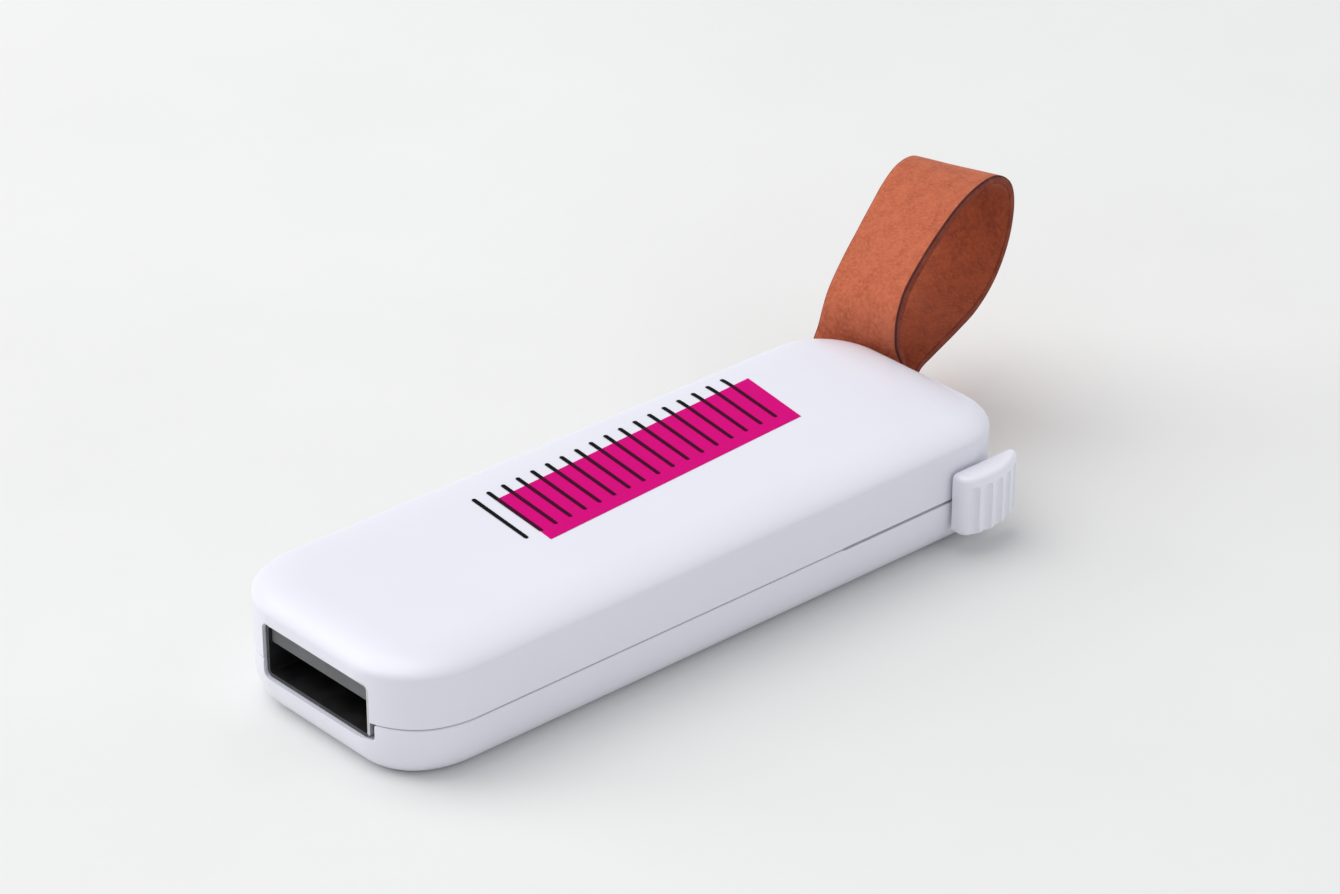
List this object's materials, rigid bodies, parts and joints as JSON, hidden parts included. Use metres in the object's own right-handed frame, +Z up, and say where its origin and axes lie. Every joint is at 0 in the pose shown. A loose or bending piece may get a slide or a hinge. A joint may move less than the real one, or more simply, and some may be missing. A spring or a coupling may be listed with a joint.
{
  "type": "usb flash drive",
  "caption": "Retractable USB flash drive: flat rounded case, ribbed side thumb slider that pushes out the plug, and a leather loop strap at the rear corner.",
  "frame": {"origin": "middle of the case's flat underside", "axes": "+Z up from the underside, +Y along the case towards the strap (the plug leaves towards -Y), +X towards the thumb slider"},
  "size_m": [0.0278, 0.0789, 0.0201],
  "materials": {
    "shell": "white, satin gloss",
    "carriage": "white, moulded",
    "spring_steel": "rolled strip",
    "plug_steel": "nickel plated",
    "tongue": "grey, moulded",
    "contact": "gold plated",
    "board": "green solder mask",
    "chip_resin": "black moulded resin",
    "ceramic": "fired ceramic",
    "crystal_can": "drawn can",
    "led_lens": "clear blue lens",
    "strap_leather": "terracotta suede"
  },
  "bodies": {
    "case": {"upper_case": "shell", "lower_case": "shell", "strap_end_upper": "strap_leather", "strap_end_lower": "strap_leather", "strap_pin": "spring_steel"},
    "slider": {"slide_carriage": "carriage", "slider_arm": "spring_steel", "thumb_slider": "shell", "plug_shell": "plug_steel", "plug_tongue": "tongue", "contact_1": "contact", "contact_2": "contact", "contact_3": "contact", "contact_4": "contact", "circuit_board": "board", "memory_chip": "chip_resin", "controller_chip": "chip_resin", "regulator": "chip_resin", "resistor_1": "chip_resin", "resistor_2": "chip_resin", "resistor_3": "chip_resin", "capacitor_1": "ceramic", "capacitor_2": "ceramic", "capacitor_3": "ceramic", "capacitor_4": "ceramic", "crystal": "crystal_can", "activity_led": "led_lens", "detent_spring": "spring_steel"},
    "strap": {"strap_loop": "strap_leather"}
  },
  "joints": [
    {"name": "plug_slide", "type": "slide", "parent": "case", "child": "slider", "axis": [0, -1, 0], "range_m": [0, 0.0126]},
    {"name": "strap_flex", "type": "hinge", "parent": "case", "child": "strap", "pos_m": [-0.00646, 0.03148, 0.0054], "axis": [0.9659, 0.2588, 0], "range_deg": [-22, 8], "stiffness_Nm_per_rad": 0.01}
  ]
}
